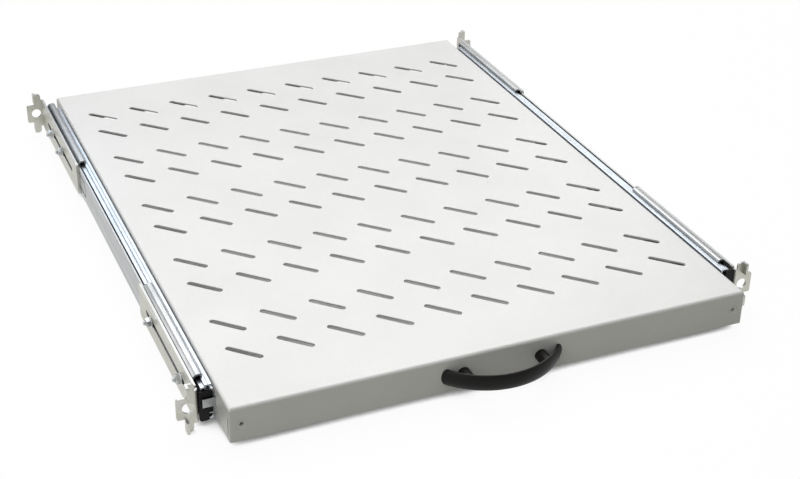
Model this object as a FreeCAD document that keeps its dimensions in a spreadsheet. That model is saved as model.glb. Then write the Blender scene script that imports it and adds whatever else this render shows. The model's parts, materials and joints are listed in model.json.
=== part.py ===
"""Sliding rack shelf: a slotted sheet-metal tray on two three-member ball slides with rack brackets.

The origin is midway between the two front screw holes, on the plane of the rack's front uprights.
+X points to the right seen from the front, +Y to the rear, +Z up.
Each slide is drawn once, for the right side, and the left one is the same slide turned over about Y.
"""
import FreeCAD, Part
import math
import os
import re
import Sketcher

Vector = FreeCAD.Vector

# Driving dimensions in millimetres, degrees for angles, plain counts for patterns
SIZES = {
    # Rack
    "rack_hole_spacing": 465.1,
    "hole_offset": 7.65,
    "ear_margin": 8.75,
    "ear_height": 39.8,
    # Tray
    "tray_depth": 565.0,
    "tray_height": 29.0,
    "tray_top": 15.0,
    "front_overhang": 34.0,
    "sheet": 1.5,
    "bend_radius": 2.5,
    "corner_radius": 1.2,
    "seam_inset": 2.6,
    "seam_width": 2.0,
    "seam_length": 15.0,
    "seam_drop": 4.0,
    # Ventilation slots
    "slot_length": 31.0,
    "slot_width": 5.0,
    "slot_angle": 45.0,
    "slot_border": 30.0,
    "column_pitch": 40.0,
    "row_gap": 40.0,
    "pair_pitch": 100.0,
    "pattern_shift": 1.5,
    # Slide section
    "rail_height": 35.2,
    "ridge_gap": 1.4,
    "outer_wall": 1.4,
    "outer_lip": 1.0,
    "lip_cover": 2.0,
    "outer_bend": 4.2,
    "lip_bend": 2.0,
    "member_wall": 1.2,
    "member_bend": 0.5,
    "web_gap": 1.2,
    "lip_gap": 0.4,
    "race_margin": 0.1,
    "flange_gap": 1.05,
    "inner_lip": 0.4,
    "ridge_lip": 1.2,
    "groove_width": 0.8,
    "groove_depth": 0.35,
    "ball_diameter": 2.8,
    "ball_clearance": 0.15,
    "ball_side_gap": 0.2,
    "cage_sheet": 0.5,
    "inner_cage_sheet": 0.4,
    "cage_slack": 0.35,
    "cage_bend": 1.0,
    # Slide lengths, from the rack's front plane
    "outer_front": 12.0,
    "outer_length": 501.0,
    "rear_gap": 20.0,
    "front_track": 136.0,
    "rear_track": 135.0,
    "track_cut": 4.3,
    "cut_margin": 1.0,
    "window_lead": 24.5,
    "window_length": 28.0,
    "window_height": 15.4,
    "window_slit": 1.4,
    "member_front": 1.0,
    "inner_setback": 15.0,
    # Ball cages
    "outer_cage_gap": 4.0,
    "outer_cage_length": 60.0,
    "outer_ball_pitch": 12.0,
    "inner_cage_offset": 175.0,
    "inner_cage_length": 120.0,
    "inner_ball_pitch": 22.0,
    "cage_end": 6.0,
    # Slide fittings
    "stop_depth": 10.0,
    "stop_side_gap": 0.4,
    "cap_plate": 1.6,
    "cap_gap": 0.4,
    "cap_depth": 12.0,
    "cap_inset": 4.6,
    "cap_outset": 0.6,
    "cap_tip": 2.2,
    "cap_round": 2.0,
    "buffer_length": 5.0,
    "buffer_inset": 0.6,
    "buffer_gap": 0.6,
    "buffer_core": 6.0,
    "tab_reach": 10.0,
    "tab_height": 7.0,
    "tab_rise": 1.5,
    "tab_thickness": 1.2,
    "tab_gap": 0.8,
    "lever_length": 47.0,
    "lever_thickness": 4.0,
    "lever_height": 8.0,
    "lever_tail": 12.0,
    "lever_gap": 0.3,
    "lever_setback": 1.0,
    "pin_diameter": 4.0,
    "pin_head": 7.0,
    "pin_head_thickness": 0.8,
    "pin_slack": 0.05,
    "rivet_diameter": 4.0,
    "rivet_head": 7.0,
    "rivet_head_thickness": 1.4,
    "rivet_inset": 60.0,
    "rivet_count": 3,
    # Rack brackets and their studs
    "bracket_sheet": 2.0,
    "bracket_slot": 108.2,
    "bracket_slot_start": 27.0,
    "arm_end": 20.8,
    "arm_height": 30.6,
    "arm_radius": 3.0,
    "ear_bend": 2.6,
    "ear_hole": 9.2,
    "wing_height": 17.8,
    "wing_radius": 1.6,
    "shoulder_height": 13.8,
    "tab_inside": 5.2,
    "tab_outside": 1.6,
    "foot_inside": 3.6,
    "foot_outside": 2.6,
    "tongue_round": 2.5,
    "lip_depth": 4.5,
    "lip_relief": 1.2,
    "lip_round": 2.0,
    "stud_diameter": 4.0,
    "stud_play": 0.3,
    "stud_length": 6.6,
    "front_stud_inset": 24.5,
    "front_stud_gap": 82.5,
    "rear_stud_inset": 32.0,
    "rear_stud_gap": 41.0,
    "nut_size": 7.0,
    "nut_height": 4.6,
    "nut_flange": 9.0,
    "nut_flange_height": 0.8,
    # Handle
    "handle_span": 100.4,
    "handle_depth": 25.0,
    "handle_thickness": 3.2,
    "handle_height": 13.0,
    "handle_rim": 0.3,
    "handle_blunt": 1.4,
    "crown_depth": 2.2,
    "crown_margin": 0.5,
    "crown_skin": 0.05,
    "handle_end": 5.0,
    "boss_inset": 18.2,
    "boss_diameter": 10.0,
    "handle_screw": 5.0,
    "handle_screw_head": 9.0,
    "handle_screw_head_height": 3.2,
    "handle_screw_depth": 9.0,
    # Threaded inserts in the front flange
    "insert_inset": 9.0,
    "insert_shank": 8.6,
    "insert_recess": 0.35,
    "insert_bore": 3.3,
    "insert_size": 10.0,
    "insert_height": 3.0,
}

doc = FreeCAD.newDocument("SlidingRackShelf")
sheet = doc.addObject("Spreadsheet::Sheet", "Sizes")
for row, (alias, value) in enumerate(SIZES.items(), start=1):
    sheet.set(f"A{row}", alias)
    sheet.set(f"B{row}", str(value))
    sheet.setAlias(f"B{row}", alias)
doc.recompute()

# Slide section, measured from the tray's side flange outwards (u) and from the centre line up (z)
BALL = "(ball_diameter / 2)"
RIDGE_LIP_OUT = "(ridge_gap)"
RIDGE_LIP_IN = f"({RIDGE_LIP_OUT} + member_wall)"
INNER_BALL_U = f"({RIDGE_LIP_IN} + ball_side_gap + {BALL})"
STEP_IN = f"({INNER_BALL_U} + {BALL} + ball_side_gap)"
STEP = f"({STEP_IN} + member_wall)"
OUTER_BALL_U = f"({STEP} + ball_side_gap + {BALL})"
MIDDLE_WEB = f"({OUTER_BALL_U} + {BALL} + race_margin)"
MIDDLE_WEB_IN = f"({MIDDLE_WEB} - member_wall)"
OUTER_WEB = f"({MIDDLE_WEB} + web_gap)"
THICKNESS = f"({OUTER_WEB} + outer_wall)"
OUTER_EDGE = f"({STEP} - lip_cover)"
INNER_EDGE = f"({MIDDLE_WEB_IN} - cage_slack - inner_cage_sheet - flange_gap)"
RIDGE_MIDDLE = f"(({STEP} + {RIDGE_LIP_OUT}) / 2)"
RAIL_TOP = "(rail_height / 2)"
OUTER_ROOF = f"({RAIL_TOP} - outer_wall)"
OUTER_LIP = f"({OUTER_ROOF} - outer_lip)"
OUTER_BALL_Z = f"({OUTER_ROOF} - ball_clearance - {BALL})"
RACE_TOP = f"({OUTER_BALL_Z} - {BALL} - ball_clearance)"
RACE_UNDER = f"({RACE_TOP} - member_wall)"
RIDGE_TOP = f"({OUTER_LIP} - lip_gap)"
RIDGE_UNDER = f"({RIDGE_TOP} - member_wall)"
INNER_BALL_Z = f"({RIDGE_UNDER} - ball_clearance - {BALL})"
INNER_RACE = f"({INNER_BALL_Z} - {BALL} - ball_clearance)"
INNER_ROOF = f"({INNER_RACE} - member_wall)"
INNER_LIP = f"({INNER_RACE} + inner_lip)"

# Places in the whole, from the rack's front plane and its middle
HOLE_X = "(rack_hole_spacing / 2)"
SLIDE_FACE = f"({HOLE_X} - hole_offset)"
SIDE = f"({SLIDE_FACE} - {THICKNESS})"
ARM_FACE = f"({SLIDE_FACE} + bracket_sheet)"
TRAY_BOTTOM = "(tray_top - tray_height)"
TRAY_REAR = "(tray_depth - front_overhang)"
PATTERN_CENTRE = "(tray_depth / 2 - front_overhang + pattern_shift)"
COLUMNS = f"(floor((2 * {SIDE} - 2 * slot_border) / column_pitch) + 1)"
ROW_PAIRS = "(floor((tray_depth - 2 * slot_border - row_gap) / pair_pitch) + 1)"
OUTER_REAR = "(outer_front + outer_length)"
RACK_DEPTH = f"({OUTER_REAR} + rear_gap)"
BUFFER_FRONT = f"({OUTER_REAR} - buffer_inset - buffer_length)"
SLIDING_LENGTH = f"({BUFFER_FRONT} - buffer_gap - member_front)"
INNER_LENGTH = f"({SLIDING_LENGTH} - inner_setback)"
RIVET_PITCH = f"(({INNER_LENGTH} - 2 * rivet_inset) / (rivet_count - 1))"
CAP_REAR = "(member_front - cap_gap)"
LEVER_EDGE = "(lever_height / 2 + lever_gap)"
LEVER_PIVOT = "(lever_setback + lever_length - lever_tail)"
STUD_PLACES = (
    "(outer_front + front_stud_inset)",
    "(outer_front + front_stud_inset + front_stud_gap)",
    f"({OUTER_REAR} - rear_stud_inset - rear_stud_gap)",
    f"({OUTER_REAR} - rear_stud_inset)",
)
BRACKET_LENGTH = "(bracket_slot_start + bracket_slot + arm_end)"
BOSS_X = "(handle_span / 2 - boss_inset)"
INSERT_X = f"({SIDE} - insert_inset)"

# How close two places count as the same
NEAR = 1e-4

TURNED_ABOUT_Y = FreeCAD.Rotation(Vector(0, 1, 0), 180)
SIDES = {"right": FreeCAD.Rotation(), "left": TURNED_ABOUT_Y}
ALONG_X = FreeCAD.Rotation(Vector(0, 1, 0), 90)
ALONG_Y = FreeCAD.Rotation(Vector(1, 0, 0), -90)
nodes = []


def cell(text):
    """Turn a formula of plain size names into one that reads the sheet."""
    return re.sub(r"[a-z_]+", lambda word: f"Sizes.{word[0]}" if word[0] in SIZES else word[0], text)


def number(text):
    """Value of a formula at the sheet's present sizes."""
    return float(sheet.evalExpression(cell(text)))


def bind(item, prop, text):
    """Tie one property to a formula of the sheet's sizes."""
    item.setExpression(prop, cell(text))


def keep(item, label, rotation=None):
    """Give a finished sub-part its name and its turn about the origin, and list it for writing."""
    item.Label = label
    if rotation is not None:
        item.Placement = FreeCAD.Placement(Vector(), rotation)
    nodes.append(item)
    return item


def new_body(label):
    """Start a sub-part made of sketches and features."""
    return doc.addObject("PartDesign::Body", f"{label}_body")


def new_sketch(body, plane, shift="0"):
    """Sketch on one of the body's own planes, moved along that plane's normal by a formula."""
    sketch = body.newObject("Sketcher::SketchObject", f"{body.Name}_sketch")
    support = next(item for item in body.Origin.OriginFeatures if item.Role == plane)
    sketch.AttachmentSupport = [(support, "")]
    sketch.MapMode = "FlatFace"
    if shift != "0":
        bind(sketch, "AttachmentOffset.Base.z", shift)
    return sketch


def pin_point(sketch, index, position, place):
    """Hold a sketch point at a pair of formulas from the sketch's origin."""
    for kind, axis, text in (("DistanceX", -2, place[0]), ("DistanceY", -1, place[1])):
        if text == "0":
            sketch.addConstraint(Sketcher.Constraint("PointOnObject", index, position, axis))
            continue
        held = sketch.addConstraint(Sketcher.Constraint(kind, -1, 1, index, position, number(text)))
        bind(sketch, f"Constraints[{held}]", text)


def add_outline(sketch, places):
    """Closed straight-sided outline whose corners are pairs of formulas."""
    first = sketch.GeometryCount
    corners = [Vector(number(place[0]), number(place[1]), 0) for place in places]
    count = len(corners)
    for i in range(count):
        sketch.addGeometry(Part.LineSegment(corners[i], corners[(i + 1) % count]))
    for i in range(count):
        following = first + (i + 1) % count
        sketch.addConstraint(Sketcher.Constraint("Coincident", first + i, 2, following, 1))
    for i in range(count):
        pin_point(sketch, first + i, 1, places[i])


def add_circle(sketch, place, diameter):
    """Circle at a pair of formulas."""
    centre = Vector(number(place[0]), number(place[1]), 0)
    index = sketch.addGeometry(Part.Circle(centre, Vector(0, 0, 1), number(diameter) / 2))
    pin_point(sketch, index, 3, place)
    held = sketch.addConstraint(Sketcher.Constraint("Diameter", index, number(diameter)))
    bind(sketch, f"Constraints[{held}]", diameter)


def add_slot(sketch, place, length, width):
    """Round-ended slot along the sketch's first axis, centred on a pair of formulas."""
    centre = Vector(number(place[0]), number(place[1]), 0)
    radius = number(width) / 2
    half = number(length) / 2 - radius
    up = Vector(0, radius, 0)
    ends = (centre - Vector(half, 0, 0), centre + Vector(half, 0, 0))
    quarter = math.pi / 2
    axis = Vector(0, 0, 1)
    top = sketch.addGeometry(Part.LineSegment(ends[0] + up, ends[1] + up))
    right = sketch.addGeometry(Part.ArcOfCircle(Part.Circle(ends[1], axis, radius), -quarter, quarter))
    bottom = sketch.addGeometry(Part.LineSegment(ends[1] - up, ends[0] - up))
    left = sketch.addGeometry(Part.ArcOfCircle(Part.Circle(ends[0], axis, radius), quarter, 3 * quarter))
    for pair in ((top, 2, right, 2), (right, 1, bottom, 1), (bottom, 2, left, 2), (left, 1, top, 1)):
        sketch.addConstraint(Sketcher.Constraint("Tangent", *pair))
    reach = f"({length} - {width}) / 2"
    pin_point(sketch, left, 3, (f"{place[0]} - {reach}", place[1]))
    pin_point(sketch, right, 3, (f"{place[0]} + {reach}", place[1]))
    held = sketch.addConstraint(Sketcher.Constraint("Radius", right, radius))
    bind(sketch, f"Constraints[{held}]", f"{width} / 2")


def pad(body, sketch, length, back=False, both=False):
    """Add material along the sketch's normal, or against it when back is set."""
    feature = body.newObject("PartDesign::Pad", f"{body.Name}_pad")
    feature.Profile = sketch
    bind(feature, "Length", length)
    feature.Reversed = back
    if both:
        feature.SideType = "Symmetric"
    doc.recompute()
    return feature


def pocket(body, sketch, length=None, back=False, both=False):
    """Cut against the sketch's normal, or along it when back is set; right through with no length."""
    before = body.Shape.Volume
    feature = body.newObject("PartDesign::Pocket", f"{body.Name}_pocket")
    feature.Profile = sketch
    if both:
        feature.SideType = "Symmetric"
    if length is None:
        feature.Type = "ThroughAll"
    else:
        bind(feature, "Length", length)
    feature.Reversed = back
    doc.recompute()
    if body.Shape.Volume > before - NEAR:
        raise ValueError(f"a cut in {body.Name} removed nothing")
    return feature


def straight_edges(shape, axis):
    """Names and middles of the straight edges along an axis, with their lengths."""
    found = []
    for number_of_edge, edge in enumerate(shape.Edges, start=1):
        if edge.Curve.TypeId != "Part::GeomLine":
            continue
        direction = edge.Vertexes[-1].Point - edge.Vertexes[0].Point
        if direction.Length > NEAR and direction.normalize().cross(axis).Length < NEAR:
            found.append((f"Edge{number_of_edge}", edge.CenterOfMass, edge.Length))
    return found


def round_edges(body, radius, wanted):
    """Round the named edges of the body's last feature."""
    feature = body.newObject("PartDesign::Fillet", f"{body.Name}_round")
    feature.Base = (body.Tip if body.Tip != feature else feature.BaseFeature, wanted)
    bind(feature, "Radius", radius)
    doc.recompute()
    return feature


def round_corners(body, radius, places, axis=Vector(0, 1, 0), flat=("x", "z")):
    """Round the edges along an axis that pass through the given pairs of formulas."""
    targets = [(number(place[0]), number(place[1])) for place in places]
    wanted = []
    for name, middle, length in straight_edges(body.Shape, axis):
        here = (getattr(middle, flat[0]), getattr(middle, flat[1]))
        if any(abs(here[0] - goal[0]) < NEAR and abs(here[1] - goal[1]) < NEAR for goal in targets):
            wanted.append(name)
    return round_edges(body, radius, wanted)


def mirrored(places):
    """Upper half of a section followed by its mirror image below the centre line."""
    return places + [(u, f"-{z}") for u, z in reversed(places)]


def from_side(places):
    """Turn places measured from the tray's side flange into X and Z."""
    return [(f"{SIDE} + {u}", z) for u, z in places]


def solid(kind, name, rotation=None, place=("0", "0", "0"), **sizes):
    """Part primitive with its sizes and place tied to the sheet."""
    item = doc.addObject(kind, name)
    for prop, text in sizes.items():
        bind(item, prop, text)
    item.Placement = FreeCAD.Placement(Vector(), rotation or FreeCAD.Rotation())
    for axis, text in zip("xyz", place):
        if text != "0":
            bind(item, f"Placement.Base.{axis}", text)
    return item


def fuse(name, *items):
    """Join primitives into one solid."""
    joined = doc.addObject("Part::MultiFuse", name)
    joined.Shapes = list(items)
    return joined


def cut(name, base, tool):
    """Take one solid out of another."""
    result = doc.addObject("Part::Cut", name)
    result.Base = base
    result.Tool = tool
    return result


def group(name, items):
    """Set of separate, identical solids in one node."""
    together = doc.addObject("Part::Compound", name)
    together.Links = items
    return together


def make_tray():
    """Folded sheet with four flanges, corner seams, slots, and holes for what is fixed to it."""
    body = new_body("tray")
    sketch = new_sketch(body, "XY_Plane", TRAY_BOTTOM)
    front = "-front_overhang"
    add_outline(sketch, [(f"-{SIDE}", front), (SIDE, front), (SIDE, TRAY_REAR), (f"-{SIDE}", TRAY_REAR)])
    pad(body, sketch, "tray_height")
    upright = [name for name, middle, length in straight_edges(body.Shape, Vector(0, 0, 1))]
    round_edges(body, "corner_radius", upright)
    top = number("tray_top")
    rim = [f"Edge{i}" for i, edge in enumerate(body.Shape.Edges, start=1)
           if all(abs(vertex.Point.z - top) < NEAR for vertex in edge.Vertexes)]
    round_edges(body, "bend_radius", rim)
    hollow = new_sketch(body, "XY_Plane", TRAY_BOTTOM)
    side_in = f"({SIDE} - sheet)"
    front_in = "(sheet - front_overhang)"
    rear_in = f"({TRAY_REAR} - sheet)"
    add_outline(hollow, [(f"-{side_in}", front_in), (side_in, front_in),
                         (side_in, rear_in), (f"-{side_in}", rear_in)])
    pocket(body, hollow, "tray_height - sheet", back=True)
    under = number("tray_top - sheet")
    folds = [f"Edge{i}" for i, edge in enumerate(body.Shape.Edges, start=1)
             if all(abs(vertex.Point.z - under) < NEAR for vertex in edge.Vertexes)]
    round_edges(body, "bend_radius - sheet", folds)

    flange = new_sketch(body, "XZ_Plane", "front_overhang")
    for side in ("-", ""):
        add_circle(flange, (f"{side}{BOSS_X}", "0"), "handle_screw")
        add_circle(flange, (f"{side}{INSERT_X}", "0"), "insert_shank")
    pocket(body, flange, "2 * sheet")

    sides = new_sketch(body, "YZ_Plane")
    for i in range(int(SIZES["rivet_count"])):
        add_circle(sides, (rivet_place(i), "0"), "rivet_diameter")
    seam_top = f"{TRAY_BOTTOM} + seam_drop + seam_length"
    seam_bottom = f"{TRAY_BOTTOM} + seam_drop"
    for corner, inward in ((front, "+"), (TRAY_REAR, "-")):
        near = f"{corner} {inward} seam_inset"
        far = f"{near} {inward} seam_width"
        add_outline(sides, [(near, seam_bottom), (far, seam_bottom), (far, seam_top), (near, seam_top)])
    pocket(body, sides, both=True)

    slot = new_sketch(body, "XY_Plane")
    add_slot(slot, ("0", "0"), "slot_length", "slot_width")
    bind(slot, "AttachmentOffset.Base.x", f"-({COLUMNS} - 1) * column_pitch / 2")
    first_row = f"{PATTERN_CENTRE} - ({ROW_PAIRS} - 1) * pair_pitch / 2 - row_gap / 2"
    bind(slot, "AttachmentOffset.Base.y", first_row)
    turned = FreeCAD.Rotation(Vector(0, 0, 1), -number("slot_angle"))
    slot.AttachmentOffset = FreeCAD.Placement(slot.AttachmentOffset.Base, turned)
    bind(slot, "AttachmentOffset.Rotation.Angle", "-slot_angle")
    first = pocket(body, slot, back=True)
    repeat_slot(body, first)
    return keep(body, "tray")


def repeat_slot(body, first):
    """Repeat one slot across the columns, in pairs of rows, down the tray."""
    whole = body.newObject("PartDesign::MultiTransform", "slot_pattern")
    whole.Originals = [first]
    axes = {item.Role: item for item in body.Origin.OriginFeatures}
    steps = []
    plan = (("X_Axis", "column_pitch", COLUMNS), ("Y_Axis", "row_gap", "2"),
            ("Y_Axis", "pair_pitch", ROW_PAIRS))
    for axis, pitch, count in plan:
        step = body.newObject("PartDesign::LinearPattern", "slot_step")
        step.Direction = (axes[axis], [""])
        bind(step, "Occurrences", count)
        bind(step, "Length", f"{pitch} * ({count} - 1)")
        steps.append(step)
    whole.Transformations = steps
    body.Tip = whole
    doc.recompute()


def make_outer_rail(side, turn):
    """Fixed C-shaped rail: ball tracks front and rear, flanges cut away between, a tab cut in its web."""
    label = f"{side}_outer_rail"
    body = new_body(label)
    sketch = new_sketch(body, "XZ_Plane", "-outer_front")
    lip_back = f"({OUTER_EDGE} + outer_wall)"
    half = [(THICKNESS, RAIL_TOP), (OUTER_EDGE, RAIL_TOP), (OUTER_EDGE, OUTER_LIP),
            (lip_back, OUTER_LIP), (lip_back, OUTER_ROOF), (OUTER_WEB, OUTER_ROOF)]
    add_outline(sketch, from_side(mirrored(half)))
    pad(body, sketch, "outer_length", back=True)
    for radius, u, z in (("outer_bend", THICKNESS, RAIL_TOP),
                         ("outer_bend - outer_wall", OUTER_WEB, OUTER_ROOF),
                         ("lip_bend", OUTER_EDGE, RAIL_TOP),
                         ("lip_bend - outer_wall", lip_back, OUTER_ROOF)):
        round_corners(body, radius, from_side([(u, z), (u, f"-{z}")]))

    cut_front = "(outer_front + front_track)"
    cut_rear = f"({OUTER_REAR} - rear_track)"
    web_top = f"({RAIL_TOP} - track_cut)"
    past = f"({RAIL_TOP} + cut_margin)"
    gap = new_sketch(body, "YZ_Plane", f"{SIDE} - cut_margin")
    for low, high in ((web_top, past), (f"-{past}", f"-{web_top}")):
        add_outline(gap, [(cut_front, low), (cut_rear, low), (cut_rear, high), (cut_front, high)])
    pocket(body, gap, f"{THICKNESS} + 2 * cut_margin", back=True)

    openings = new_sketch(body, "YZ_Plane", f"{SLIDE_FACE} - outer_wall - cut_margin")
    window_front = f"({cut_rear} - window_lead)"
    window_rear = f"({window_front} + window_length)"
    window_top = "(window_height / 2)"
    tab_front = f"({window_front} + window_slit)"
    tab_top = f"({window_top} - window_slit)"
    add_outline(openings, [(window_front, f"-{window_top}"), (window_rear, f"-{window_top}"),
                           (window_rear, f"-{tab_top}"), (tab_front, f"-{tab_top}"), (tab_front, tab_top),
                           (window_rear, tab_top), (window_rear, window_top), (window_front, window_top)])
    for place in STUD_PLACES:
        add_circle(openings, (place, "0"), "stud_diameter")
    pocket(body, openings, "outer_wall + 2 * cut_margin", back=True)
    return keep(body, label, turn)


def make_middle_rail(side, turn):
    """Sliding rail with an outer ball race, a raised ridge over the inner race, and a crease along it."""
    label = f"{side}_middle_rail"
    body = new_body(label)
    sketch = new_sketch(body, "XZ_Plane", "-member_front")
    crease_out = f"({RIDGE_MIDDLE} + groove_width / 2)"
    crease_in = f"({RIDGE_MIDDLE} - groove_width / 2)"
    crease_low = f"({RIDGE_TOP} - groove_depth)"
    lip_low = f"({RIDGE_UNDER} - ridge_lip)"
    half = [(MIDDLE_WEB, RACE_TOP), (STEP, RACE_TOP), (STEP, RIDGE_TOP), (crease_out, RIDGE_TOP),
            (RIDGE_MIDDLE, crease_low), (crease_in, RIDGE_TOP), (RIDGE_LIP_OUT, RIDGE_TOP),
            (RIDGE_LIP_OUT, lip_low), (RIDGE_LIP_IN, lip_low), (RIDGE_LIP_IN, RIDGE_UNDER),
            (STEP_IN, RIDGE_UNDER), (STEP_IN, RACE_UNDER), (MIDDLE_WEB_IN, RACE_UNDER)]
    add_outline(sketch, from_side(mirrored(half)))
    pad(body, sketch, SLIDING_LENGTH, back=True)
    bends = [(MIDDLE_WEB, RACE_TOP), (STEP, RIDGE_TOP), (RIDGE_LIP_OUT, RIDGE_TOP)]
    round_corners(body, "member_bend", from_side(bends + [(u, f"-{z}") for u, z in bends]))
    return keep(body, label, turn)


def make_inner_rail(side, turn):
    """Rail riveted to the tray's flange, with a folded closing tab at its front end."""
    label = f"{side}_inner_rail"
    body = new_body(label)
    sketch = new_sketch(body, "XZ_Plane", "-member_front")
    lip_back = f"({INNER_EDGE} - member_wall)"
    half = [("0", INNER_RACE), (lip_back, INNER_RACE), (lip_back, INNER_LIP), (INNER_EDGE, INNER_LIP),
            (INNER_EDGE, INNER_ROOF), ("member_wall", INNER_ROOF)]
    add_outline(sketch, from_side(mirrored(half)))
    pad(body, sketch, INNER_LENGTH, back=True)
    round_corners(body, "member_bend", from_side([("0", INNER_RACE), ("0", f"-{INNER_RACE}")]))

    tab_top = "(tab_height / 2 - tab_rise)"
    tab_bottom = "(-tab_height / 2 - tab_rise)"
    tab_rear = f"(cap_plate + tab_gap - {CAP_REAR})"
    strip = new_sketch(body, "YZ_Plane", SIDE)
    front_of_tab = f"-{tab_rear} - tab_thickness"
    add_outline(strip, [("member_front", tab_bottom), ("member_front", tab_top),
                        (front_of_tab, tab_top), (front_of_tab, tab_bottom)])
    pad(body, strip, "member_wall")
    tab = new_sketch(body, "XZ_Plane", tab_rear)
    add_outline(tab, from_side([("0", tab_bottom), ("tab_reach", tab_bottom),
                                ("tab_reach", tab_top), ("0", tab_top)]))
    pad(body, tab, "tab_thickness")

    holes = new_sketch(body, "YZ_Plane", f"{SIDE} - cut_margin")
    for i in range(int(SIZES["rivet_count"])):
        add_circle(holes, (rivet_place(i), "0"), "rivet_diameter")
    add_circle(holes, (LEVER_PIVOT, "0"), "pin_diameter")
    pocket(body, holes, "member_wall + 2 * cut_margin", back=True)
    return keep(body, label, turn)


def rivet_place(i):
    """Distance of one of the tray's rivets from the rack's front plane."""
    return f"(member_front + rivet_inset + {i} * {RIVET_PITCH})"


def make_front_stop(side, turn):
    """Moulded plug in the middle rail's front end, between its web and the inner rail."""
    label = f"{side}_front_stop"
    body = new_body(label)
    plug = new_sketch(body, "XZ_Plane", "-member_front")
    inner_side = f"({INNER_EDGE} + stop_side_gap)"
    add_outline(plug, from_side([(inner_side, f"-{RACE_UNDER}"), (MIDDLE_WEB_IN, f"-{RACE_UNDER}"),
                                 (MIDDLE_WEB_IN, RACE_UNDER), (inner_side, RACE_UNDER)]))
    pad(body, plug, "stop_depth", back=True)
    return keep(body, label, turn)


def make_end_cap(side, turn):
    """Moulded cap on the inner rail's front end: a face clear of the lever and a plug in the channel."""
    label = f"{side}_end_cap"
    body = new_body(label)
    face = new_sketch(body, "XZ_Plane", f"-{CAP_REAR}")
    strip_in = f"({INNER_EDGE} + stop_side_gap)"
    cap_out = f"({THICKNESS} - cap_outset)"
    add_outline(face, from_side([("cap_inset", LEVER_EDGE), (strip_in, LEVER_EDGE),
                                 (strip_in, f"-{LEVER_EDGE}"), ("cap_tip", f"-{LEVER_EDGE}"),
                                 ("cap_tip", f"-{INNER_RACE}"), (cap_out, f"-{INNER_RACE}"),
                                 (cap_out, RIDGE_TOP), ("cap_inset", RIDGE_TOP)]))
    pad(body, face, "cap_plate")
    outer_corners = [("cap_inset", RIDGE_TOP), (cap_out, RIDGE_TOP), (cap_out, f"-{INNER_RACE}")]
    round_corners(body, "cap_round", from_side(outer_corners))
    plug = new_sketch(body, "XZ_Plane", f"-{CAP_REAR}")
    plug_out = f"({INNER_EDGE} - stop_side_gap)"
    add_outline(plug, from_side([("member_wall", LEVER_EDGE), (plug_out, LEVER_EDGE),
                                 (plug_out, INNER_ROOF), ("member_wall", INNER_ROOF)]))
    pad(body, plug, "cap_depth", back=True)
    return keep(body, label, turn)


def make_rear_buffer(side, turn):
    """Moulded block in the outer rail's rear end that the sliding rails close against."""
    label = f"{side}_rear_buffer"
    body = new_body(label)
    sketch = new_sketch(body, "XZ_Plane", f"-{BUFFER_FRONT}")
    step_out = "(outer_bend - outer_wall)"
    step_in = "(lip_bend - outer_wall)"
    lip_back = f"({OUTER_EDGE} + outer_wall)"
    half = [(OUTER_WEB, f"({OUTER_ROOF} - {step_out})"), (f"({OUTER_WEB} - {step_out})", OUTER_ROOF),
            (f"({lip_back} + {step_in})", OUTER_ROOF), (lip_back, f"({OUTER_ROOF} - {step_in})"),
            (lip_back, OUTER_LIP), (OUTER_EDGE, OUTER_LIP), (OUTER_EDGE, "buffer_core")]
    add_outline(sketch, from_side(mirrored(half)))
    pad(body, sketch, "buffer_length", back=True)
    return keep(body, label, turn)


def make_cage(side, turn, name, section, strip, front, length, pitch, ball_u, hole):
    """Folded strip that carries a row of balls above and below, with half-round seats along its edges."""
    label = f"{side}_{name}_cage"
    body = new_body(label)
    sketch = new_sketch(body, "XZ_Plane", f"-{front}")
    add_outline(sketch, from_side(mirrored(section)))
    pad(body, sketch, length, back=True)
    for radius, (u, z) in (("cage_bend", section[0]), (f"cage_bend - {strip}", section[-1])):
        round_corners(body, radius, from_side([(u, z), (u, f"-{z}")]))
    seats = new_sketch(body, "XY_Plane", f"-{RAIL_TOP}")
    for i in range(ball_count(length, pitch)):
        add_circle(seats, (f"{SIDE} + {ball_u}", f"{front} + cage_end + {i} * {pitch}"), f"2 * {hole}")
    pocket(body, seats, back=True)
    return keep(body, label, turn)


def ball_count(length, pitch):
    """How many balls fit along a cage between its plain ends."""
    return int((number(length) - 2 * number("cage_end")) / number(pitch) + 1e-6) + 1


def make_balls(side, turn, name, front, length, pitch, ball_u, ball_z):
    """Steel balls of one cage, in a row above and a row below."""
    balls = []
    for level in ("", "-"):
        for i in range(ball_count(length, pitch)):
            place = (f"{SIDE} + {ball_u}", f"{front} + cage_end + {i} * {pitch}", f"{level}{ball_z}")
            balls.append(solid("Part::Sphere", f"{side}_{name}_ball", place=place, Radius=BALL))
    return keep(group(f"{side}_{name}_set", balls), f"{side}_{name}_balls", turn)


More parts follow.
